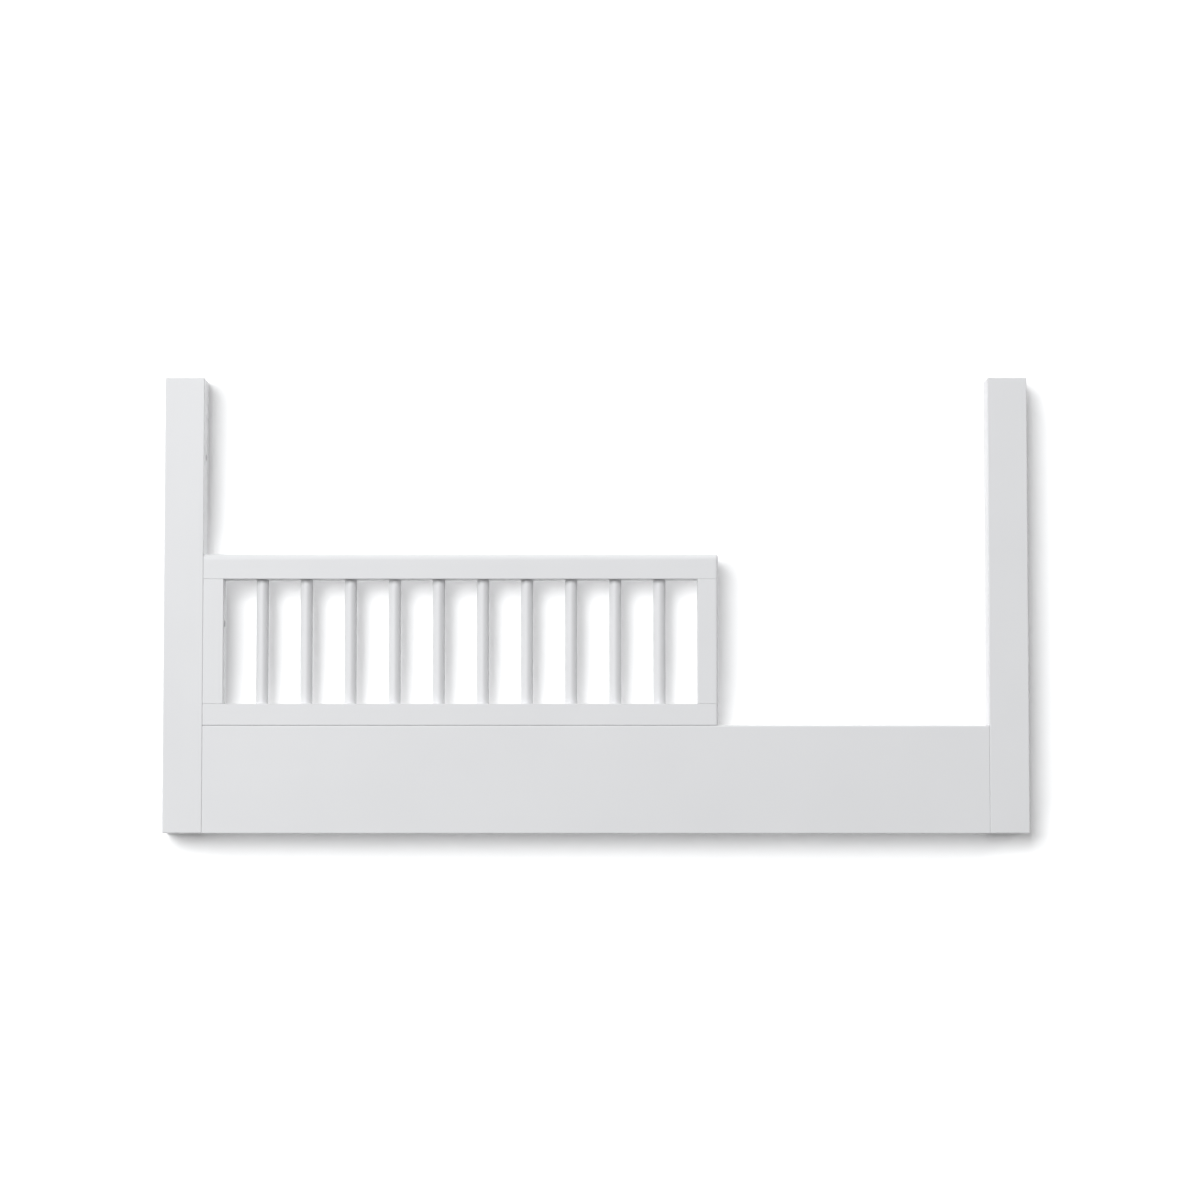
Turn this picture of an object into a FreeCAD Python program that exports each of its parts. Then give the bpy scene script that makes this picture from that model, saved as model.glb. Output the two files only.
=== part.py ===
"""Front side of a toddler bed: two full-height posts, a deep front rail and a spindled guard.

Millimetres. +X runs along the length, the front faces -Y and +Z is up. The origin is on the
floor, in the middle of the footprint. The guard stands on the front rail against the left
post, and the rest of the front is left open for the child to climb in.
"""
import FreeCAD, Part
import math
import os
from FreeCAD import Vector

# Posts and the span between them
POST_WIDTH = 61.0
POST_DEPTH = 61.0
POST_HEIGHT = 705.0
CLEAR_SPAN = 1213.0  # from post to post, for a 1200 mm mattress
POST_EDGE = 1.5  # rounding of a post's edges

# Front rail
RAIL_HEIGHT = 166.0
RAIL_THICKNESS = 42.0
RAIL_TOP_EDGE = 3.0  # rounding of its two upper edges
JOINT_EDGE = 0.8  # rounding of an edge that meets another piece

# Guard
GUARD_LENGTH = 795.0
GUARD_THICKNESS = 42.0
GUARD_BOTTOM_HEIGHT = 33.0
GUARD_TOP_HEIGHT = 38.5
GUARD_TOP_EDGE = 9.0  # rounding of the top rail's two upper edges
GUARD_END_EDGE = 4.0  # rounding of the guard's free end
STILE_WIDTH = 31.5
STILE_EDGE = 1.2  # rounding of the left stile's inner corners
STILE_HEIGHT = 193.0

# Spindles, spaced evenly between the stiles
SPINDLE_COUNT = 10
SPINDLE_RADIUS = 9.5
SPINDLE_TENON = 12.0  # how far each end goes into its rail
SPINDLE_CHAMFER = 1.0

# Clearances between pieces that fit into each other
FIT = 0.3  # round a dowel, spindle, nut, insert, bolt or washer
END_GAP = 0.5  # past the end of a dowel or spindle in its hole

# Wooden dowels
DOWEL_RADIUS = 4.0
DOWEL_LENGTH = 40.0
DOWEL_CHAMFER = 1.0
GUARD_DOWEL_LENGTH = 24.0
RAIL_DOWEL_INSET = 24.0  # from the front rail's upper and lower edges
STILE_DOWEL_SPACING = 16.0  # between the two dowels at one end of a stile

# M6 bolts: the thread is drawn plain, at its pitch radius, in a bore of the nominal radius
BOLT_RADIUS = 3.0
THREAD_RADIUS = BOLT_RADIUS - FIT
THREAD_TIP_CHAMFER = 0.8
HEAD_RADIUS = 5.0
HEAD_HEIGHT = 6.0
HEAD_CHAMFER = 0.5
KEY_SIZE = 5.0  # across the flats of the socket
KEY_DEPTH = 3.0
WASHER_RADIUS = 5.7
WASHER_THICKNESS = 1.6
RECESS_RADIUS = WASHER_RADIUS + FIT  # holes that take a bolt's head and washer

# Front rail to post: a bolt through the post into a cross nut in the rail
RAIL_BOLT_INSET = 50.0  # from the front rail's upper and lower edges
RAIL_BOLT_RECESS = 10.0
NUT_RADIUS = 5.0
NUT_LENGTH = 16.0
NUT_INSET = 32.0  # from the rail's end to the nut's axis
NUT_SLOT_WIDTH = 1.2
NUT_SLOT_DEPTH = 1.5
NUT_CHAMFER = 0.4
TIP_PAST_NUT = 1.4

# Guard to post and to front rail: bolts into threaded inserts
GUARD_BOLT_GRIP = 21.5  # wood under the washer
GUARD_BOLT_ENGAGEMENT = 16.9
GUARD_BOLT_RISE = 124.5  # of the sideways bolt, above the stile's foot
GUARD_BOLT_GAPS = (3, 7)  # the gaps between spindles that take a downward bolt
INSERT_RADIUS = 5.0
INSERT_LENGTH = 15.0
INSERT_HOLE_DEPTH = 20.0
INSERT_CHAMFER = 0.4

# Fixings for the bed's end panels
END_PANEL_LOW = 200.0  # height of the lower insert in each post's back
END_PANEL_SPACING = 420.0
SIDE_HOLE_HEIGHT = 583.0  # of the hole that goes sideways through the left post
SIDE_HOLE_RECESS = 8.0

# Places worked out from the sizes above
FRONT = -POST_DEPTH / 2
BACK = POST_DEPTH / 2
RAIL_BACK = FRONT + RAIL_THICKNESS
RAIL_MIDDLE = FRONT + RAIL_THICKNESS / 2
GUARD_BACK = FRONT + GUARD_THICKNESS
GUARD_MIDDLE = FRONT + GUARD_THICKNESS / 2
INNER = CLEAR_SPAN / 2  # from the middle to a post's inner side
OUTER = INNER + POST_WIDTH
GUARD_LEFT = -INNER
GUARD_RIGHT = GUARD_LEFT + GUARD_LENGTH
STILE_FOOT = RAIL_HEIGHT + GUARD_BOTTOM_HEIGHT
STILE_HEAD = STILE_FOOT + STILE_HEIGHT
GUARD_TOP = STILE_HEAD + GUARD_TOP_HEIGHT
BOLT_HOLE_RADIUS = BOLT_RADIUS + FIT
SPINDLE_GAP = (
    GUARD_LENGTH - 2 * STILE_WIDTH - 2 * SPINDLE_RADIUS * SPINDLE_COUNT
) / (SPINDLE_COUNT + 1)

RIGHTWARD = Vector(1, 0, 0)
BACKWARD = Vector(0, 1, 0)
UPWARD = Vector(0, 0, 1)


# Shapes
def block(low, high):
    """A square-cornered block between two opposite corners."""
    size = Vector(*high) - Vector(*low)
    return Part.makeBox(size.x, size.y, size.z, Vector(*low))


def rod(start, direction, radius, length):
    """A cylinder from a start point along a direction."""
    return Part.makeCylinder(radius, length, start, direction)


def turned(profile, start, direction):
    """A turned piece: a closed outline of (radius, distance) points, spun about its axis."""
    points = [Vector(radius, 0, distance) for radius, distance in profile]
    face = Part.Face(Part.makePolygon(points + points[:1]))
    solid = face.revolve(Vector(0, 0, 0), UPWARD, 360)
    turn = FreeCAD.Rotation(UPWARD, direction)
    solid.Placement = FreeCAD.Placement(start, turn)
    return solid


def chamfered_rod(start, direction, radius, length, chamfer):
    """A rod with both ends chamfered."""
    profile = [
        (0, 0),
        (radius - chamfer, 0),
        (radius, chamfer),
        (radius, length - chamfer),
        (radius - chamfer, length),
        (0, length),
    ]
    return turned(profile, start, direction)


def edges_on(solid, x=None, y=None, z=None, above=None):
    """Edges that lie in every given plane and, if a height is given, reach above it."""
    near = 0.001
    chosen = []
    for edge in solid.Edges:
        box = edge.BoundBox
        spans = ((x, box.XMin, box.XMax), (y, box.YMin, box.YMax), (z, box.ZMin, box.ZMax))
        lies = all(
            plane is None or (abs(low - plane) < near and abs(high - plane) < near)
            for plane, low, high in spans
        )
        if lies and (above is None or box.ZMax > above + near):
            chosen.append(edge)
    return chosen


def eased(solid, radius, *places):
    """The solid with the edges at the given places rounded together."""
    chosen = []
    for place in places:
        for edge in edges_on(solid, **place):
            if not any(edge.isSame(other) for other in chosen):
                chosen.append(edge)
    return solid.makeFillet(radius, chosen)


def drilled(solid, holes):
    """The solid less a list of holes."""
    return solid.cut(Part.makeCompound(holes))


# Hardware
def bolt(seat, direction, length, grip):
    """A socket-headed bolt whose head rests on the seat and whose thread starts past the grip."""
    tip = THREAD_RADIUS - THREAD_TIP_CHAMFER
    profile = [
        (0, -HEAD_HEIGHT),
        (HEAD_RADIUS - HEAD_CHAMFER, -HEAD_HEIGHT),
        (HEAD_RADIUS, HEAD_CHAMFER - HEAD_HEIGHT),
        (HEAD_RADIUS, 0),
        (BOLT_RADIUS, 0),
        (BOLT_RADIUS, grip),
        (THREAD_RADIUS, grip),
        (THREAD_RADIUS, length - THREAD_TIP_CHAMFER),
        (tip, length),
        (0, length),
    ]
    solid = turned(profile, seat, direction)
    return solid.cut(key_socket(seat - direction * HEAD_HEIGHT, direction))


def key_socket(start, direction):
    """The six-sided socket that a hex key drives."""
    corner = KEY_SIZE / math.sqrt(3)
    points = [
        Vector(corner * math.cos(math.radians(60 * i)), corner * math.sin(math.radians(60 * i)), 0)
        for i in range(6)
    ]
    face = Part.Face(Part.makePolygon(points + points[:1]))
    solid = face.extrude(UPWARD * KEY_DEPTH)
    solid.Placement = FreeCAD.Placement(start, FreeCAD.Rotation(UPWARD, direction))
    return solid


def washer(seat, direction):
    """A flat washer that lies on the seat, on the side that the direction points away from."""
    profile = [
        (BOLT_HOLE_RADIUS, -WASHER_THICKNESS),
        (WASHER_RADIUS, -WASHER_THICKNESS),
        (WASHER_RADIUS, 0),
        (BOLT_HOLE_RADIUS, 0),
    ]
    return turned(profile, seat, direction)


def insert(mouth, direction):
    """A threaded insert, sunk from its mouth along the direction."""
    profile = [
        (BOLT_RADIUS, 0),
        (INSERT_RADIUS - INSERT_CHAMFER, 0),
        (INSERT_RADIUS, INSERT_CHAMFER),
        (INSERT_RADIUS, INSERT_LENGTH - INSERT_CHAMFER),
        (INSERT_RADIUS - INSERT_CHAMFER, INSERT_LENGTH),
        (BOLT_RADIUS, INSERT_LENGTH),
    ]
    return turned(profile, mouth, direction)


def insert_hole(mouth, direction):
    """The hole that a threaded insert is sunk into."""
    return rod(mouth, direction, INSERT_RADIUS + FIT, INSERT_HOLE_DEPTH)


def dowel(middle, direction, length):
    """A wooden dowel, half in each of two pieces that meet at its middle."""
    start = middle - direction * (length / 2)
    return chamfered_rod(start, direction, DOWEL_RADIUS, length, DOWEL_CHAMFER)


def dowel_hole(middle, direction, length):
    """The hole for a dowel, through both of the pieces that it joins."""
    whole = length + 2 * END_GAP
    return rod(middle - direction * (whole / 2), direction, DOWEL_RADIUS + FIT, whole)


# Where the hardware goes
def rail_ends():
    """The front rail's two joints: its end's place along X and the way outwards from it."""
    return [(-INNER, RIGHTWARD * -1), (INNER, RIGHTWARD)]


def from_rail_edges(inset):
    """Two heights, the same distance in from the front rail's lower and upper edges."""
    return [inset, RAIL_HEIGHT - inset]


def rail_dowels_at():
    """The middle and direction of each dowel between the front rail and a post."""
    return [
        (Vector(end, RAIL_MIDDLE, height), outwards)
        for end, outwards in rail_ends()
        for height in from_rail_edges(RAIL_DOWEL_INSET)
    ]


def rail_bolts_at():
    """The point on the joint's plane and the outward direction of each front rail bolt."""
    return [
        (Vector(end, RAIL_MIDDLE, height), outwards)
        for end, outwards in rail_ends()
        for height in from_rail_edges(RAIL_BOLT_INSET)
    ]


def stile_lefts():
    """The left side of each stile."""
    return [GUARD_LEFT, GUARD_RIGHT - STILE_WIDTH]


def stile_dowels_at(height):
    """The middle and direction of each dowel at one end of the stiles."""
    return [
        (Vector(left + STILE_WIDTH / 2, GUARD_MIDDLE + offset, height), UPWARD)
        for left in stile_lefts()
        for offset in (-STILE_DOWEL_SPACING / 2, STILE_DOWEL_SPACING / 2)
    ]


def gap_middle(number):
    """The middle of a gap between spindles: 0 is beside the left stile."""
    pitch = SPINDLE_GAP + 2 * SPINDLE_RADIUS
    return GUARD_LEFT + STILE_WIDTH + SPINDLE_GAP / 2 + pitch * number


def spindle_middle(number):
    """The axis of a spindle: 0 is the one nearest the left post."""
    return (gap_middle(number) + gap_middle(number + 1)) / 2


def guard_dowels_at():
    """The middle and direction of each dowel between the guard and the front rail."""
    return [
        (Vector(gap_middle(gap), GUARD_MIDDLE, RAIL_HEIGHT), UPWARD)
        for gap in (0, SPINDLE_COUNT)
    ]


def guard_bolts_at():
    """The joint's point, the driving direction and the depth of wood of each guard bolt."""
    sideways = Vector(GUARD_LEFT, GUARD_MIDDLE, STILE_FOOT + GUARD_BOLT_RISE)
    down = [Vector(gap_middle(gap), GUARD_MIDDLE, RAIL_HEIGHT) for gap in GUARD_BOLT_GAPS]
    return [(sideways, RIGHTWARD * -1, STILE_WIDTH)] + [
        (point, UPWARD * -1, GUARD_BOTTOM_HEIGHT) for point in down
    ]


def guard_bolt_holes():
    """The hole and head recess of each guard bolt, in the wood that it clamps."""
    holes = []
    for point, direction, depth in guard_bolts_at():
        holes.append(rod(point, direction * -1, BOLT_HOLE_RADIUS, depth))
        seat = point - direction * GUARD_BOLT_GRIP
        holes.append(rod(seat, direction * -1, RECESS_RADIUS, depth))
    return holes


def guard_insert_holes():
    """The holes for the inserts that the guard bolts screw into."""
    return [insert_hole(point, direction) for point, direction, _ in guard_bolts_at()]


def end_panel_inserts_at(middle):
    """The mouths of the two inserts in the back of the post with this middle along X."""
    heights = (END_PANEL_LOW, END_PANEL_LOW + END_PANEL_SPACING)
    return [Vector(middle, BACK, height) for height in heights]


def socket_holes():
    """The blind holes in both guard rails that the spindles' ends go into."""
    radius = SPINDLE_RADIUS + FIT
    holes = []
    for number in range(SPINDLE_COUNT):
        foot = Vector(spindle_middle(number), GUARD_MIDDLE, STILE_FOOT)
        head = Vector(spindle_middle(number), GUARD_MIDDLE, STILE_HEAD)
        holes.append(rod(foot, UPWARD * -1, radius, SPINDLE_TENON))
        holes.append(rod(head, UPWARD, radius, SPINDLE_TENON + END_GAP))
    return holes


def rail_bolt_clearance(point, outwards):
    """The plain hole for a front rail bolt, from its tip in the rail to the post's outer side."""
    past = NUT_INSET + NUT_RADIUS + TIP_PAST_NUT + END_GAP
    return rod(point - outwards * past, outwards, BOLT_HOLE_RADIUS, past + POST_WIDTH)


# Wooden pieces
def post(inner_x, outer_x):
    """A post between its inner and outer sides, drilled for the front rail and end panel."""
    left = min(inner_x, outer_x)
    right = max(inner_x, outer_x)
    solid = block((left, FRONT, 0), (right, BACK, POST_HEIGHT))
    corners = [dict(x=x, y=y) for x in (left, right) for y in (FRONT, BACK)]
    solid = eased(solid, POST_EDGE, *corners, dict(z=0), dict(z=POST_HEIGHT))
    holes = [dowel_hole(*place, DOWEL_LENGTH) for place in rail_dowels_at()]
    for point, outwards in rail_bolts_at():
        seat = point + outwards * (POST_WIDTH - RAIL_BOLT_RECESS)
        holes.append(rail_bolt_clearance(point, outwards))
        holes.append(rod(seat, outwards, RECESS_RADIUS, RAIL_BOLT_RECESS))
    for mouth in end_panel_inserts_at((left + right) / 2):
        holes.append(insert_hole(mouth, BACKWARD * -1))
    return drilled(solid, holes)


def left_post():
    """The left post also takes the guard's bolt and has a hole sideways through it."""
    outer = Vector(-OUTER, 0, SIDE_HOLE_HEIGHT)
    recess = Vector(-INNER - SIDE_HOLE_RECESS, 0, SIDE_HOLE_HEIGHT)
    through = rod(outer, RIGHTWARD, BOLT_HOLE_RADIUS, POST_WIDTH)
    head = rod(recess, RIGHTWARD, RECESS_RADIUS, SIDE_HOLE_RECESS)
    return drilled(post(-INNER, -OUTER), [through, head] + guard_insert_holes())


def front_rail():
    """The deep rail between the posts, with softly rounded upper edges."""
    solid = block((-INNER, FRONT, 0), (INNER, RAIL_BACK, RAIL_HEIGHT))
    upper = [dict(y=y, z=RAIL_HEIGHT) for y in (FRONT, RAIL_BACK)]
    lower = [dict(y=y, z=0) for y in (FRONT, RAIL_BACK)]
    solid = eased(solid, RAIL_TOP_EDGE, *upper)
    solid = eased(solid, JOINT_EDGE, *lower, dict(x=-INNER), dict(x=INNER))
    holes = [dowel_hole(*place, DOWEL_LENGTH) for place in rail_dowels_at()]
    holes += [dowel_hole(*place, GUARD_DOWEL_LENGTH) for place in guard_dowels_at()]
    for point, outwards in rail_bolts_at():
        holes.append(rail_bolt_clearance(point, outwards))
        holes.append(nut_hole(point - outwards * NUT_INSET))
    return drilled(solid, holes + guard_insert_holes())


def nut_hole(middle):
    """The blind hole, from the rail's back, that a cross nut drops into."""
    floor = middle - BACKWARD * (NUT_LENGTH / 2)
    return rod(floor, BACKWARD, NUT_RADIUS + FIT, RAIL_BACK - floor.y)


def guard_bottom_rail():
    """The guard's bottom rail, which lies on the front rail."""
    solid = block((GUARD_LEFT, FRONT, RAIL_HEIGHT), (GUARD_RIGHT, GUARD_BACK, STILE_FOOT))
    free_end = [dict(x=GUARD_RIGHT, y=y) for y in (FRONT, GUARD_BACK)]
    solid = eased(solid, GUARD_END_EDGE, *free_end)
    solid = eased(solid, JOINT_EDGE, dict(x=GUARD_LEFT), dict(z=RAIL_HEIGHT), dict(z=STILE_FOOT))
    holes = [dowel_hole(*place, GUARD_DOWEL_LENGTH) for place in guard_dowels_at()]
    holes += [dowel_hole(*place, DOWEL_LENGTH) for place in stile_dowels_at(STILE_FOOT)]
    return drilled(solid, holes + socket_holes() + guard_bolt_holes())


def guard_top_rail():
    """The guard's top rail, rounded along its upper edges and round its free end."""
    solid = block((GUARD_LEFT, FRONT, STILE_HEAD), (GUARD_RIGHT, GUARD_BACK, GUARD_TOP))
    upper = [dict(y=y, z=GUARD_TOP) for y in (FRONT, GUARD_BACK)]
    solid = eased(solid, GUARD_TOP_EDGE, *upper)
    solid = eased(solid, GUARD_END_EDGE, dict(x=GUARD_RIGHT, above=STILE_HEAD))
    solid = eased(solid, JOINT_EDGE, dict(x=GUARD_LEFT), dict(z=STILE_HEAD))
    holes = [dowel_hole(*place, DOWEL_LENGTH) for place in stile_dowels_at(STILE_HEAD)]
    return drilled(solid, holes + socket_holes())


def stile(left, right_edge):
    """A stile from its left side, with its two right-hand edges rounded by right_edge."""
    right = left + STILE_WIDTH
    solid = block((left, FRONT, STILE_FOOT), (right, GUARD_BACK, STILE_HEAD))
    right_corners = [dict(x=right, y=y) for y in (FRONT, GUARD_BACK)]
    left_corners = [dict(x=left, y=y) for y in (FRONT, GUARD_BACK)]
    solid = eased(solid, right_edge, *right_corners)
    solid = eased(solid, JOINT_EDGE, *left_corners, dict(z=STILE_FOOT), dict(z=STILE_HEAD))
    places = stile_dowels_at(STILE_FOOT) + stile_dowels_at(STILE_HEAD)
    return drilled(solid, [dowel_hole(*place, DOWEL_LENGTH) for place in places])


def spindle(number):
    """One plain round spindle, standing on the floor of its lower socket."""
    start = Vector(spindle_middle(number), GUARD_MIDDLE, STILE_FOOT - SPINDLE_TENON)
    length = STILE_HEIGHT + 2 * SPINDLE_TENON
    return chamfered_rod(start, UPWARD, SPINDLE_RADIUS, length, SPINDLE_CHAMFER)


# Groups of like pieces
def rail_fasteners():
    """The front rail's bolts, washers and cross nuts, as three lists."""
    bolts = []
    washers = []
    nuts = []
    under_washer = POST_WIDTH - RAIL_BOLT_RECESS
    into_rail = NUT_INSET + NUT_RADIUS + TIP_PAST_NUT
    grip = WASHER_THICKNESS + under_washer
    for point, outwards in rail_bolts_at():
        seat = point + outwards * under_washer
        head_seat = seat + outwards * WASHER_THICKNESS
        bolts.append(bolt(head_seat, outwards * -1, grip + into_rail, grip))
        washers.append(washer(seat, outwards * -1))
        nuts.append(cross_nut(point - outwards * NUT_INSET))
    return bolts, washers, nuts


def cross_nut(middle):
    """A cross nut: a short bar across the rail with a threaded hole and a driver slot."""
    start = middle - BACKWARD * (NUT_LENGTH / 2)
    solid = chamfered_rod(start, BACKWARD, NUT_RADIUS, NUT_LENGTH, NUT_CHAMFER)
    thread = rod(middle - RIGHTWARD * NUT_RADIUS, RIGHTWARD, BOLT_RADIUS, 2 * NUT_RADIUS)
    back = start.y + NUT_LENGTH
    slot = block(
        (middle.x - NUT_RADIUS, back - NUT_SLOT_DEPTH, middle.z - NUT_SLOT_WIDTH / 2),
        (middle.x + NUT_RADIUS, back, middle.z + NUT_SLOT_WIDTH / 2),
    )
    return drilled(solid, [thread, slot])


def guard_fasteners():
    """The guard's bolts, washers and inserts, as three lists."""
    bolts = []
    washers = []
    inserts = []
    grip = WASHER_THICKNESS + GUARD_BOLT_GRIP
    for point, direction, _ in guard_bolts_at():
        seat = point - direction * GUARD_BOLT_GRIP
        head_seat = seat - direction * WASHER_THICKNESS
        bolts.append(bolt(head_seat, direction, grip + GUARD_BOLT_ENGAGEMENT, grip))
        washers.append(washer(seat, direction))
        inserts.append(insert(point, direction))
    return bolts, washers, inserts


def end_panel_inserts():
    """The inserts in the backs of both posts."""
    post_middle = INNER + POST_WIDTH / 2
    mouths = end_panel_inserts_at(-post_middle) + end_panel_inserts_at(post_middle)
    return [insert(mouth, BACKWARD * -1) for mouth in mouths]


def pieces():
    """Every node of the model, by name."""
    rail_bolts, rail_bolt_washers, rail_barrel_nuts = rail_fasteners()
    guard_bolts, guard_bolt_washers, guard_inserts = guard_fasteners()
    left, right = stile_lefts()
    stile_places = stile_dowels_at(STILE_FOOT) + stile_dowels_at(STILE_HEAD)
    named = {
        "left_post": left_post(),
        "right_post": post(INNER, OUTER),
        "front_rail": front_rail(),
        "guard_bottom_rail": guard_bottom_rail(),
        "guard_top_rail": guard_top_rail(),
        "guard_left_stile": drilled(stile(left, STILE_EDGE), guard_bolt_holes()),
        "guard_right_stile": stile(right, GUARD_END_EDGE),
        "rail_bolts": Part.makeCompound(rail_bolts),
        "rail_bolt_washers": Part.makeCompound(rail_bolt_washers),
        "rail_barrel_nuts": Part.makeCompound(rail_barrel_nuts),
        "rail_dowels": Part.makeCompound(
            [dowel(*place, DOWEL_LENGTH) for place in rail_dowels_at()]
        ),
        "stile_dowels": Part.makeCompound([dowel(*place, DOWEL_LENGTH) for place in stile_places]),
        "guard_dowels": Part.makeCompound(
            [dowel(*place, GUARD_DOWEL_LENGTH) for place in guard_dowels_at()]
        ),
        "guard_bolts": Part.makeCompound(guard_bolts),
        "guard_bolt_washers": Part.makeCompound(guard_bolt_washers),
        "guard_inserts": Part.makeCompound(guard_inserts),
        "end_panel_inserts": Part.makeCompound(end_panel_inserts()),
    }
    for number in range(SPINDLE_COUNT):
        named[f"spindle_{number + 1:02d}"] = spindle(number)
    return named


os.makedirs("parts", exist_ok=True)
for name, shape in pieces().items():
    shape.exportStep(f"parts/{name}.step")
    print(f"{name}: {len(shape.Solids)} solid(s), valid {shape.isValid()}, {shape.Volume:.1f} mm3")
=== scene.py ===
"""Finishes, paint beads and studio for the front side of a toddler bed.

The bed side is lacquered wood: two square posts, a deep front rail and a short guard with
round spindles. The frame gives its shapes. This add-on gives each piece its finish, adds the
small beads of lacquer round the spindles' ends, and sets up a white studio.
"""
import math

import bpy
import numpy as np
from bpy.props import FloatProperty, FloatVectorProperty, IntProperty
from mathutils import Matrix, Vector


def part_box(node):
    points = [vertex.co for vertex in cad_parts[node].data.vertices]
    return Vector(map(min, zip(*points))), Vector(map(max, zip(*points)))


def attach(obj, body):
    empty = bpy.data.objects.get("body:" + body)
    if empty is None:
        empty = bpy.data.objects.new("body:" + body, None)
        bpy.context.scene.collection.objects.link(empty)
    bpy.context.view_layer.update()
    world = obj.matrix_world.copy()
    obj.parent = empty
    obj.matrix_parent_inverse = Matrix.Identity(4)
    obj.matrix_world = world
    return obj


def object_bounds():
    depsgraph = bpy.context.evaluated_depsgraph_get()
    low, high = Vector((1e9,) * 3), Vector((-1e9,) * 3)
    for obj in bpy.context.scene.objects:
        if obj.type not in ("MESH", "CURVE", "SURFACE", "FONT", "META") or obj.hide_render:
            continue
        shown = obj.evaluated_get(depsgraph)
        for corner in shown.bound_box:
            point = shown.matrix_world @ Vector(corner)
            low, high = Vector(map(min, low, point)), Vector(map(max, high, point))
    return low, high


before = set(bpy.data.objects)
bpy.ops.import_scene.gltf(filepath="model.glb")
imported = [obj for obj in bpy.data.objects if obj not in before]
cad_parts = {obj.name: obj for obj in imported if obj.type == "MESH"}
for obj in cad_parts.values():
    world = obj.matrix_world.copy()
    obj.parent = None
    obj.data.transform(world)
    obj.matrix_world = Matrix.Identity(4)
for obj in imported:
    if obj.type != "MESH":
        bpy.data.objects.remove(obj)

bl_info = {
    "name": "Toddler Bed Side",
    "version": (1, 0, 0),
    "blender": (4, 5, 0),
    "location": "3D View > Sidebar > Bed",
    "description": "Finishes, paint beads and studio for the front side of a toddler bed",
    "category": "Object",
}

CAD_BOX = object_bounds()
MM = 0.001

POSTS = ("left_post", "right_post")
FRONT_RAIL = ("front_rail",)
GUARD_RAILS = ("guard_bottom_rail", "guard_top_rail")
STILES = ("guard_left_stile", "guard_right_stile")
SPINDLES = tuple(sorted(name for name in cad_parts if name.startswith("spindle_")))
DOWELS = ("rail_dowels", "stile_dowels", "guard_dowels")
BOLTS = ("rail_bolts", "guard_bolts")
WASHERS = ("rail_bolt_washers", "guard_bolt_washers")
NUTS_AND_INSERTS = ("rail_barrel_nuts", "guard_inserts", "end_panel_inserts")


def linear(hex_colour):
    """An sRGB hex colour as linear red, green and blue."""
    values = [int(hex_colour[i : i + 2], 16) / 255 for i in (1, 3, 5)]
    return tuple(v / 12.92 if v <= 0.04045 else ((v + 0.055) / 1.055) ** 2.4 for v in values)


class BedFinishes(bpy.types.PropertyGroup):
    """Colours and surface sizes of the lacquer, the bare wood and the steel."""

    lacquer: FloatVectorProperty(
        name="Lacquer",
        description="Colour of the satin white lacquer",
        subtype="COLOR",
        default=linear("#DCDCDD"),
        min=0,
        max=1,
    )
    lacquer_shade: FloatVectorProperty(
        name="Lacquer shade",
        description="Colour of the lacquer where it lies slightly thinner",
        subtype="COLOR",
        default=linear("#D8D8D9"),
        min=0,
        max=1,
    )
    lacquer_roughness: FloatProperty(
        name="Lacquer roughness",
        description="Roughness of the satin lacquer",
        subtype="FACTOR",
        default=0.5,
        min=0,
        max=1,
    )
    grain_width: FloatProperty(
        name="Grain width",
        description="Width of the wood's grain as it shows through the lacquer",
        subtype="DISTANCE",
        unit="LENGTH",
        default=4 * MM,
        min=0.0005,
    )
    grain_height: FloatProperty(
        name="Grain height",
        description="How far the grain stands up through the lacquer",
        subtype="DISTANCE",
        unit="LENGTH",
        default=0.02 * MM,
        min=0,
    )
    peel_width: FloatProperty(
        name="Orange peel width",
        description="Distance between the sprayed lacquer's fine ripples",
        subtype="DISTANCE",
        unit="LENGTH",
        default=3 * MM,
        min=0.0005,
    )
    peel_height: FloatProperty(
        name="Orange peel height",
        description="Height of the sprayed lacquer's fine ripples",
        subtype="DISTANCE",
        unit="LENGTH",
        default=0.012 * MM,
        min=0,
    )
    beech: FloatVectorProperty(
        name="Beech",
        description="Colour of the bare beech dowels",
        subtype="COLOR",
        default=linear("#C9A27A"),
        min=0,
        max=1,
    )
    beech_pores: FloatVectorProperty(
        name="Beech flecks",
        description="Colour of the short dark flecks in the beech",
        subtype="COLOR",
        default=linear("#A87F58"),
        min=0,
        max=1,
    )
    zinc: FloatVectorProperty(
        name="Zinc",
        description="Colour of the bright zinc plating",
        subtype="COLOR",
        default=linear("#C6CACE"),
        min=0,
        max=1,
    )


class BedBeads(bpy.types.PropertyGroup):
    """Sizes of the lacquer beads where the spindles enter the guard's rails."""

    width: FloatProperty(
        name="Bead width",
        description="How far a bead spreads over the rail",
        subtype="DISTANCE",
        unit="LENGTH",
        default=1.1 * MM,
        min=0.0002,
    )
    height: FloatProperty(
        name="Bead height",
        description="How far a bead climbs the spindle",
        subtype="DISTANCE",
        unit="LENGTH",
        default=1.3 * MM,
        min=0.0002,
    )
    around: IntProperty(
        name="Steps around",
        description="Faces around each bead",
        default=56,
        min=12,
    )


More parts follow.
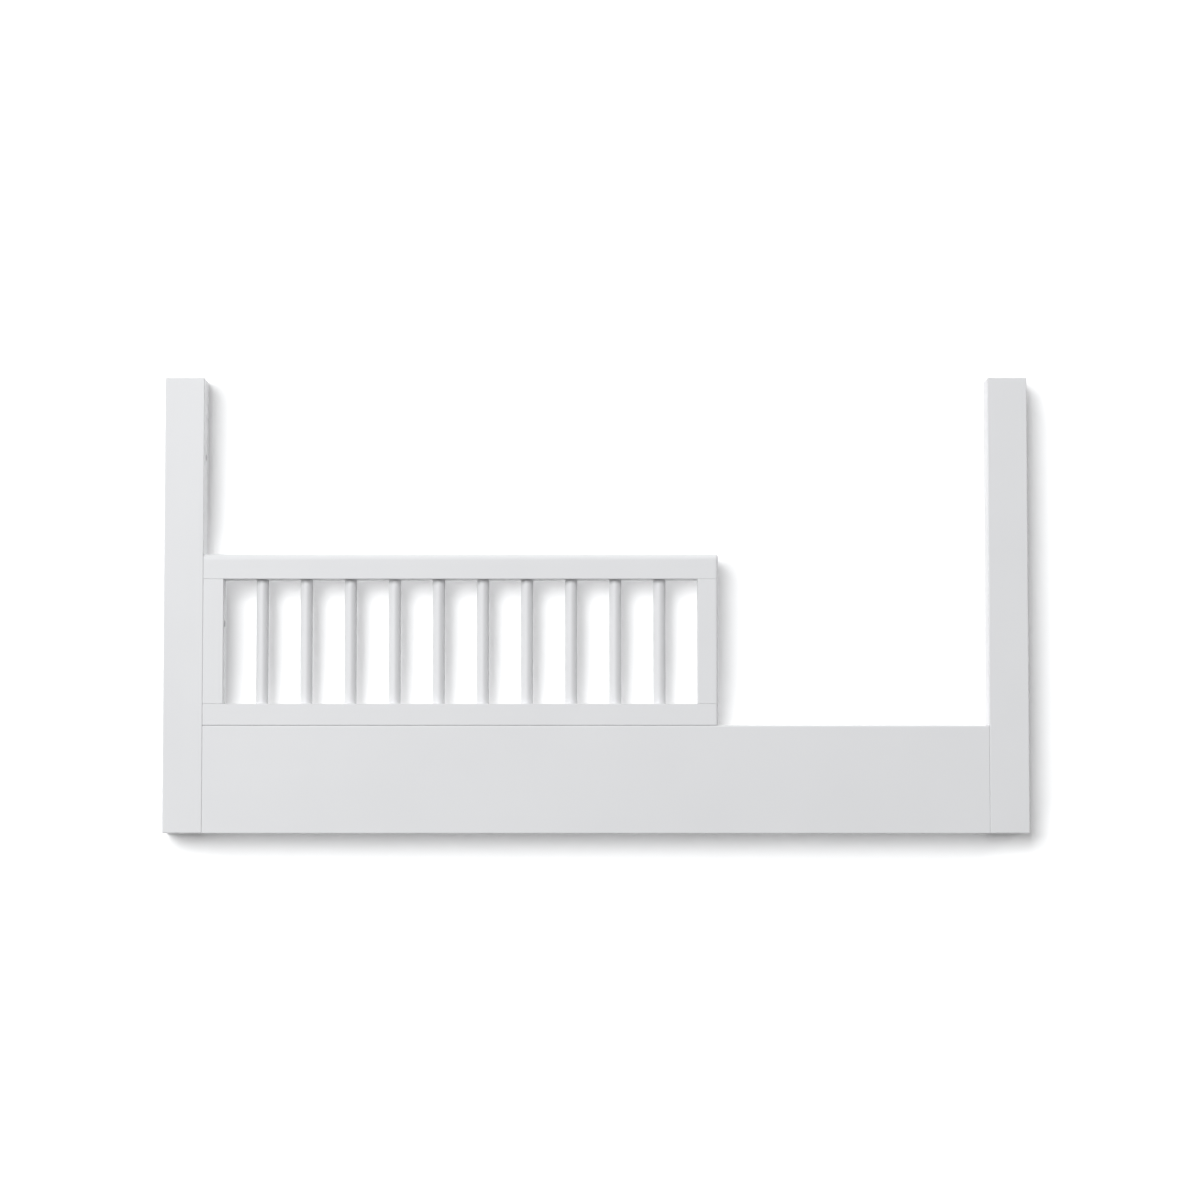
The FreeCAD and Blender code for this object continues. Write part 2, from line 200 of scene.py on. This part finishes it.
class BedStudio(bpy.types.PropertyGroup):
    """Camera, light and backdrop."""

    camera_distance: FloatProperty(
        name="Camera distance",
        description="Distance from the camera to the bed's front",
        subtype="DISTANCE",
        unit="LENGTH",
        default=5.8,
        min=1,
    )
    framed_width: FloatProperty(
        name="Framed width",
        description="Width that the picture takes in at the bed's front",
        subtype="DISTANCE",
        unit="LENGTH",
        default=1.853,
        min=0.5,
    )
    camera_pitch: FloatProperty(
        name="Camera pitch",
        description="How far the camera looks upwards",
        subtype="ANGLE",
        default=math.radians(3.86),
    )
    aim_height: FloatProperty(
        name="Aim height",
        description="Height of the point that the camera looks at",
        subtype="DISTANCE",
        unit="LENGTH",
        default=0.3593,
    )
    aim_right: FloatProperty(
        name="Aim to the right",
        description="How far right of the middle the camera looks",
        subtype="DISTANCE",
        unit="LENGTH",
        default=0.0063,
    )
    softbox_size: FloatProperty(
        name="Softbox size",
        description="Side of the square softbox at the front",
        subtype="DISTANCE",
        unit="LENGTH",
        default=7.2,
        min=0.1,
    )
    softbox_power: FloatProperty(
        name="Softbox power",
        description="Power of the softbox at the front left",
        subtype="POWER",
        unit="POWER",
        default=1640,
        min=0,
    )
    top_power: FloatProperty(
        name="Top light power",
        description="Power of the softbox above the bed",
        subtype="POWER",
        unit="POWER",
        default=27,
        min=0,
    )
    left_power: FloatProperty(
        name="Left light power",
        description="Power of the softbox to the left of the bed",
        subtype="POWER",
        unit="POWER",
        default=65,
        min=0,
    )
    right_power: FloatProperty(
        name="Right light power",
        description="Power of the softbox to the right of the bed",
        subtype="POWER",
        unit="POWER",
        default=35,
        min=0,
    )
    back_power: FloatProperty(
        name="Back light power",
        description="Power of the softbox behind the bed",
        subtype="POWER",
        unit="POWER",
        default=72,
        min=0,
    )
    ambient: FloatProperty(
        name="Ambient light",
        description="Strength of the light from all round",
        default=0.075,
        min=0,
    )
    # The wall's and floor's glows are painted light: emission on the stage paper, which is no
    # lamp.
    wall_glow: FloatProperty(
        name="Wall glow",
        description="How far the paper behind the bed is lifted towards pure white",
        default=0.14,
        min=0,
    )
    floor_glow: FloatProperty(
        name="Floor glow",
        description="How far the paper under the bed is lifted towards pure white",
        default=0.53,
        min=0,
    )


def finishes():
    """The add-on's finish settings."""
    return bpy.context.scene.bed_finishes


def add_node(tree, kind, inputs, **settings):
    """Adds a node, sets its options, and sets each named input or links an output to it."""
    made = tree.nodes.new(kind)
    for name, value in settings.items():
        setattr(made, name, value)
    for name, value in inputs.items():
        if isinstance(value, bpy.types.NodeSocket):
            tree.links.new(value, made.inputs[name])
        else:
            made.inputs[name].default_value = value
    return made


def new_material(name):
    """An empty node material and its node tree."""
    material = bpy.data.materials.new(name)
    material.use_nodes = True
    material.node_tree.nodes.clear()
    return material, material.node_tree


def opaque(colour):
    """A colour with full alpha."""
    return (*colour, 1)


def satin_white_lacquer(name, along):
    """Satin white lacquer sprayed on wood and rubbed down.

    It gives a soft, broad sheen with no sharp reflection. The wood's grain just shows through
    it, in long streaks along the piece, and the spray leaves a fine ripple. The ripple is
    really about 1 mm across and is drawn wider so that it shows.
    """
    settings = finishes()
    material, tree = new_material(name)
    place = add_node(tree, "ShaderNodeTexCoord", {}).outputs["Object"]
    streak_length = 40  # a streak is this many times longer than it is wide
    stretch = [1 / streak_length if axis == along else 1 for axis in "XYZ"]
    drawn = add_node(tree, "ShaderNodeMapping", {"Vector": place, "Scale": stretch})
    grain = add_node(
        tree,
        "ShaderNodeTexNoise",
        {"Vector": drawn.outputs[0], "Scale": 1 / settings.grain_width, "Detail": 3},
    )
    peel = add_node(
        tree,
        "ShaderNodeTexNoise",
        {"Vector": place, "Scale": 1 / settings.peel_width, "Detail": 1},
    )
    patch_width = 0.12
    patches = add_node(
        tree,
        "ShaderNodeTexNoise",
        {"Vector": place, "Scale": 1 / patch_width, "Detail": 2},
    )
    tone = add_node(
        tree,
        "ShaderNodeMix",
        {
            "Factor": patches.outputs["Fac"],
            "A": opaque(settings.lacquer),
            "B": opaque(settings.lacquer_shade),
        },
        data_type="RGBA",
    )
    roughness = add_node(
        tree,
        "ShaderNodeMapRange",
        {
            "Value": grain.outputs["Fac"],
            "To Min": settings.lacquer_roughness - 0.05,
            "To Max": settings.lacquer_roughness + 0.05,
        },
    )
    grain_bump = add_node(
        tree,
        "ShaderNodeBump",
        {"Height": grain.outputs["Fac"], "Distance": settings.grain_height},
    )
    bump = add_node(
        tree,
        "ShaderNodeBump",
        {
            "Height": peel.outputs["Fac"],
            "Distance": settings.peel_height,
            "Normal": grain_bump.outputs[0],
        },
    )
    shader = add_node(
        tree,
        "ShaderNodeBsdfPrincipled",
        {
            "Base Color": tone.outputs["Result"],
            "Roughness": roughness.outputs["Result"],
            "IOR": 1.5,
            "Normal": bump.outputs[0],
        },
    )
    add_node(tree, "ShaderNodeOutputMaterial", {"Surface": shader.outputs[0]})
    return material


def bare_beech():
    """Bare turned beech: a matt, warm wood with short dark flecks along its grain."""
    settings = finishes()
    material, tree = new_material("bare_beech")
    place = add_node(tree, "ShaderNodeTexCoord", {}).outputs["Object"]
    fleck_width = 0.6 * MM
    flecks = add_node(
        tree,
        "ShaderNodeTexNoise",
        {"Vector": place, "Scale": 1 / fleck_width, "Detail": 2},
    )
    tone = add_node(
        tree,
        "ShaderNodeMix",
        {
            "Factor": flecks.outputs["Fac"],
            "A": opaque(settings.beech),
            "B": opaque(settings.beech_pores),
        },
        data_type="RGBA",
    )
    shader = add_node(
        tree,
        "ShaderNodeBsdfPrincipled",
        {"Base Color": tone.outputs["Result"], "Roughness": 0.7},
    )
    add_node(tree, "ShaderNodeOutputMaterial", {"Surface": shader.outputs[0]})
    return material


def bright_zinc_plate():
    """Bright zinc plate on turned steel: a blue-grey metal with a slightly cloudy shine."""
    settings = finishes()
    material, tree = new_material("bright_zinc_plate")
    place = add_node(tree, "ShaderNodeTexCoord", {}).outputs["Object"]
    cloud_width = 1.5 * MM
    clouds = add_node(
        tree,
        "ShaderNodeTexNoise",
        {"Vector": place, "Scale": 1 / cloud_width, "Detail": 3},
    )
    roughness = add_node(
        tree,
        "ShaderNodeMapRange",
        {"Value": clouds.outputs["Fac"], "To Min": 0.22, "To Max": 0.42},
    )
    bump = add_node(
        tree,
        "ShaderNodeBump",
        {"Height": clouds.outputs["Fac"], "Distance": 0.01 * MM},
    )
    shader = add_node(
        tree,
        "ShaderNodeBsdfPrincipled",
        {
            "Base Color": opaque(settings.zinc),
            "Metallic": 1,
            "Roughness": roughness.outputs["Result"],
            "Normal": bump.outputs[0],
        },
    )
    add_node(tree, "ShaderNodeOutputMaterial", {"Surface": shader.outputs[0]})
    return material


def kept(name, make):
    """The material of that name, made on first use."""
    return bpy.data.materials.get(name) or make()


def lacquer_along(axis):
    """The lacquer for pieces whose grain runs along X or Z."""
    name = f"satin_white_lacquer_along_{axis.lower()}"
    return kept(name, lambda: satin_white_lacquer(name, axis))


def beech():
    """The dowels' bare beech."""
    return kept("bare_beech", bare_beech)


def zinc():
    """The hardware's zinc plate."""
    return kept("bright_zinc_plate", bright_zinc_plate)


def finish(names, material):
    """Gives every named node of the frame one material."""
    for name in names:
        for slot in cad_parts[name].material_slots:
            slot.material = material


def mesh_piece(name, vertices, faces, material):
    """A smooth-shaded piece at the origin that rides on the bed."""
    mesh = bpy.data.meshes.new(name)
    mesh.from_pydata(vertices, [], faces)
    mesh.polygons.foreach_set("use_smooth", np.ones(len(faces), bool))
    mesh.materials.append(material)
    piece = bpy.data.objects.new(name, mesh)
    bpy.context.scene.collection.objects.link(piece)
    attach(piece, "root")
    return piece


def bead_outline(width, height):
    """Closed outline of a bead as (distance out from the spindle, height above the rail).

    A quarter circle stretched to width by height, bowed inwards, runs from the spindle down
    to the rail. The outline then dips a hair under both surfaces so that no gap shows.
    """
    under = 0.05 * MM
    turn = np.linspace(0, math.pi / 2, 7)
    out = width * (1 - np.cos(turn))
    up = height * (1 - np.sin(turn))
    outline = np.stack([out, up], axis=1)
    foot = [[width, -under], [-under, -under], [-under, height]]
    return np.concatenate([outline, foot])


def ring(outline, centre, radius, up, steps):
    """Vertices and faces of a closed ring: an outline carried once round a vertical axis.

    Each outline point, out and high, lands at centre + (radius + out) times the direction of
    its angle, and at up times its height above the centre.
    """
    angle = np.linspace(0, 2 * math.pi, steps, endpoint=False)[:, None]
    reach = radius + outline[None, :, 0]
    vertices = np.stack(
        [
            centre.x + reach * np.cos(angle),
            centre.y + reach * np.sin(angle),
            np.broadcast_to(centre.z + up * outline[None, :, 1], (steps, len(outline))),
        ],
        axis=2,
    ).reshape(-1, 3)
    count = len(outline)
    here, point = np.meshgrid(np.arange(steps), np.arange(count), indexing="ij")
    onward = (here + 1) % steps
    after = (point + 1) % count
    corners = [here * count + point, here * count + after]
    corners += [onward * count + after, onward * count + point]
    faces = np.stack(corners, axis=2).reshape(-1, 4)
    return vertices, faces if up > 0 else faces[:, ::-1]


class BED_OT_posts(bpy.types.Operator):
    """Lacquer the two square posts, with the grain upright."""

    bl_idname = "bed.posts"
    bl_label = "Posts"

    def execute(self, context):
        finish(POSTS, lacquer_along("Z"))
        return {"FINISHED"}


class BED_OT_front_rail(bpy.types.Operator):
    """Lacquer the deep front rail, with the grain along it."""

    bl_idname = "bed.front_rail"
    bl_label = "Front rail"

    def execute(self, context):
        finish(FRONT_RAIL, lacquer_along("X"))
        return {"FINISHED"}


class BED_OT_guard_rails(bpy.types.Operator):
    """Lacquer the guard's top and bottom rails, with the grain along them."""

    bl_idname = "bed.guard_rails"
    bl_label = "Guard rails"

    def execute(self, context):
        finish(GUARD_RAILS, lacquer_along("X"))
        return {"FINISHED"}


class BED_OT_stiles(bpy.types.Operator):
    """Lacquer the guard's two stiles, with the grain upright."""

    bl_idname = "bed.stiles"
    bl_label = "Stiles"

    def execute(self, context):
        finish(STILES, lacquer_along("Z"))
        return {"FINISHED"}


class BED_OT_spindles(bpy.types.Operator):
    """Lacquer the round spindles, with the grain upright."""

    bl_idname = "bed.spindles"
    bl_label = "Spindles"

    def execute(self, context):
        finish(SPINDLES, lacquer_along("Z"))
        return {"FINISHED"}


class BED_OT_spindle_beads(bpy.types.Operator):
    """Run a small bead of lacquer round each spindle where it enters the guard's rails."""

    bl_idname = "bed.spindle_beads"
    bl_label = "Spindle beads"

    def execute(self, context):
        sizes = context.scene.bed_beads
        outline = bead_outline(sizes.width, sizes.height)
        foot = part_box("guard_bottom_rail")[1].z
        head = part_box("guard_top_rail")[0].z
        vertices = []
        faces = []
        for name in SPINDLES:
            low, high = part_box(name)
            middle = (low + high) / 2
            radius = (high.x - low.x) / 2
            for level, up in ((foot, 1), (head, -1)):
                centre = Vector((middle.x, middle.y, level))
                points, quads = ring(outline, centre, radius, up, sizes.around)
                faces.append(quads + sum(len(made) for made in vertices))
                vertices.append(points)
        piece = mesh_piece(
            "spindle_beads", np.concatenate(vertices), np.concatenate(faces), lacquer_along("Z")
        )
        return {"FINISHED"}


class BED_OT_dowels(bpy.types.Operator):
    """Give the dowels hidden in the joints their bare beech."""

    bl_idname = "bed.dowels"
    bl_label = "Dowels"

    def execute(self, context):
        finish(DOWELS, beech())
        return {"FINISHED"}


class BED_OT_bolts(bpy.types.Operator):
    """Plate the bolts and their washers with bright zinc."""

    bl_idname = "bed.bolts"
    bl_label = "Bolts and washers"

    def execute(self, context):
        finish(BOLTS + WASHERS, zinc())
        return {"FINISHED"}


class BED_OT_nuts(bpy.types.Operator):
    """Plate the cross nuts and threaded inserts with bright zinc."""

    bl_idname = "bed.nuts"
    bl_label = "Nuts and inserts"

    def execute(self, context):
        finish(NUTS_AND_INSERTS, zinc())
        return {"FINISHED"}


def stage_paper(name, glow):
    """Seamless white paper, seen from its lit side only.

    It carries a painted glow: emission that lifts it towards pure white, a little near the
    bed and fully outside an oval round it. The paper is pure white away from the bed
    whatever the lamps give there, and only the bed's own soft shadows show. Where the sheet
    is left in diffuse and glossy light, this glow also lights the bed as a lamp would. From
    behind it is clear, so it never hides the bed.
    """
    material, tree = new_material(name)
    place = add_node(tree, "ShaderNodeTexCoord", {}).outputs["Object"]
    middle_height = 0.344
    flattening = 1.6  # the oval is this many times wider than it is high
    oval = {"Location": (0, 0, -middle_height * flattening), "Scale": (1, 1, flattening)}
    around = add_node(tree, "ShaderNodeMapping", {"Vector": place, **oval}).outputs["Vector"]
    away = add_node(tree, "ShaderNodeVectorMath", {0: around}, operation="LENGTH")
    near = 0.85  # half the oval's width where the lift starts
    far = 1.2  # and where the paper is pure white
    lift = add_node(
        tree,
        "ShaderNodeMapRange",
        {
            "Value": away.outputs["Value"],
            "From Min": near,
            "From Max": far,
            "To Min": glow,
            "To Max": 1,
        },
    )
    paper = add_node(tree, "ShaderNodeBsdfDiffuse", {"Color": opaque(linear("#F8F8F8"))})
    # painted glow: emission that lifts the paper towards white, though the paper is no lamp
    painted_glow = add_node(tree, "ShaderNodeEmission", {"Strength": lift.outputs["Result"]})
    lit = add_node(tree, "ShaderNodeAddShader", {0: paper.outputs[0], 1: painted_glow.outputs[0]})
    clear = add_node(tree, "ShaderNodeBsdfTransparent", {})
    side = add_node(tree, "ShaderNodeNewGeometry", {}).outputs["Backfacing"]
    shown = add_node(
        tree, "ShaderNodeMixShader", {0: side, 1: lit.outputs[0], 2: clear.outputs[0]}
    )
    add_node(tree, "ShaderNodeOutputMaterial", {"Surface": shown.outputs[0]})
    return material


def sheet(name, corners, material, hidden):
    """One flat sheet of stage paper, left out of the given kinds of light."""
    mesh = bpy.data.meshes.new(name)
    mesh.from_pydata(corners, [], [tuple(range(len(corners)))])
    mesh.materials.append(material)
    paper = bpy.data.objects.new(name, mesh)
    for kind in hidden:
        setattr(paper, f"visible_{kind}", False)
    bpy.context.scene.collection.objects.link(paper)


def softbox(name, place, aim, size, power):
    """A square area light at a place, facing a point."""
    cool_white = linear("#FDFEFF")
    data = bpy.data.lights.new(name, "AREA")
    data.shape = "SQUARE"
    data.size = size
    data.energy = power
    data.color = cool_white
    light = bpy.data.objects.new(name, data)
    light.location = place
    light.rotation_euler = (Vector(aim) - Vector(place)).to_track_quat("-Z", "Y").to_euler()
    bpy.context.scene.collection.objects.link(light)


def studio_world(strength):
    """White surroundings: pure white to the camera, and an even, weaker light on the bed."""
    world = bpy.data.worlds.new("studio_world")
    world.use_nodes = True
    tree = world.node_tree
    tree.nodes.clear()
    seen = add_node(tree, "ShaderNodeLightPath", {}).outputs["Is Camera Ray"]
    level = add_node(
        tree, "ShaderNodeMapRange", {"Value": seen, "To Min": strength, "To Max": 1}
    )
    light = add_node(
        tree,
        "ShaderNodeBackground",
        {"Color": opaque(linear("#FFFFFF")), "Strength": level.outputs["Result"]},
    )
    add_node(tree, "ShaderNodeOutputWorld", {"Surface": light.outputs[0]})
    bpy.context.scene.world = world


class BED_OT_studio(bpy.types.Operator):
    """Set up the camera, the softboxes and the white paper behind and under the bed."""

    bl_idname = "bed.studio"
    bl_label = "Studio"

    def execute(self, context):
        sizes = context.scene.bed_studio
        low, high = CAD_BOX
        self.place_camera(context, sizes, low)
        self.place_lights(sizes, (low + high) / 2)
        wall_paper = stage_paper("wall_paper", sizes.wall_glow)
        floor_paper = stage_paper("floor_paper", sizes.floor_glow)
        reach = 9  # half the side of each sheet
        behind = high.y + 0.5 * MM  # just clear of the posts' backs
        wall = [(-reach, behind, -reach), (reach, behind, -reach)]
        wall += [(reach, behind, reach), (-reach, behind, reach)]
        floor = [(-reach, -reach, 0), (reach, -reach, 0), (reach, reach, 0), (-reach, reach, 0)]
        # the wall is hidden only from shadow rays, so its painted glow also lights the bed
        sheet("stage_wall", wall, wall_paper, ("shadow",))
        sheet("stage_floor", floor, floor_paper, ("shadow", "diffuse", "glossy"))
        studio_world(sizes.ambient)
        context.scene.view_settings.view_transform = "Standard"
        return {"FINISHED"}

    def place_camera(self, context, sizes, low):
        """A long lens looking up a little, with upright edges left as they fall."""
        data = bpy.data.cameras.new("studio_camera")
        data.lens = data.sensor_width * sizes.camera_distance / sizes.framed_width
        camera = bpy.data.objects.new("studio_camera", data)
        aim = Vector((sizes.aim_right, low.y, sizes.aim_height))
        back = Vector((0, -math.cos(sizes.camera_pitch), -math.sin(sizes.camera_pitch)))
        camera.location = aim + back * sizes.camera_distance
        camera.rotation_euler = (math.pi / 2 + sizes.camera_pitch, 0, 0)
        context.scene.collection.objects.link(camera)
        context.scene.camera = camera

    def place_lights(self, sizes, middle):
        """A big softbox at the front left and weaker ones above, at both sides and behind.

        Each has its place from the bed's middle, the side of its square and its power.
        """
        boxes = {
            "front": ((-4.2, -12, 3.6), sizes.softbox_size, sizes.softbox_power),
            "top": ((0, -0.5, 3.6), 2.2, sizes.top_power),
            "left": ((-5, -1.6, 1.2), 2.5, sizes.left_power),
            "right": ((4.5, -2.2, 0.8), 2.5, sizes.right_power),
            "back": ((-0.6, 4.2, 0.9), 3.2, sizes.back_power),
        }
        for name, (offset, size, power) in boxes.items():
            softbox(f"{name}_softbox", middle + Vector(offset), middle, size, power)


SETTINGS = {"bed_finishes": BedFinishes, "bed_beads": BedBeads, "bed_studio": BedStudio}
OPERATORS = (
    BED_OT_studio,
    BED_OT_posts,
    BED_OT_front_rail,
    BED_OT_guard_rails,
    BED_OT_stiles,
    BED_OT_spindles,
    BED_OT_spindle_beads,
    BED_OT_dowels,
    BED_OT_bolts,
    BED_OT_nuts,
)


class BED_PT_panel(bpy.types.Panel):
    """Lists the bed's pieces and settings in the 3D view's sidebar."""

    bl_idname = "BED_PT_panel"
    bl_label = "Bed"
    bl_space_type = "VIEW_3D"
    bl_region_type = "UI"
    bl_category = "Bed"

    def draw(self, context):
        for operator in OPERATORS:
            self.layout.operator(operator.bl_idname)
        for group in SETTINGS:
            settings = getattr(context.scene, group)
            box = self.layout.box()
            for name in settings.bl_rna.properties.keys():
                if name not in ("rna_type", "name"):
                    box.prop(settings, name)


def register():
    """Registers the settings, the operators and the panel."""
    for name, group in SETTINGS.items():
        bpy.utils.register_class(group)
        setattr(bpy.types.Scene, name, bpy.props.PointerProperty(type=group))
    for entry in OPERATORS + (BED_PT_panel,):
        bpy.utils.register_class(entry)


def unregister():
    """Removes what register() added."""
    for entry in (BED_PT_panel,) + OPERATORS[::-1]:
        bpy.utils.unregister_class(entry)
    for name, group in SETTINGS.items():
        delattr(bpy.types.Scene, name)
        bpy.utils.unregister_class(group)


def main():
    register()
    for operator in OPERATORS:
        group, name = operator.bl_idname.split(".")
        getattr(getattr(bpy.ops, group), name)()


if __name__ == "__main__":
    main()
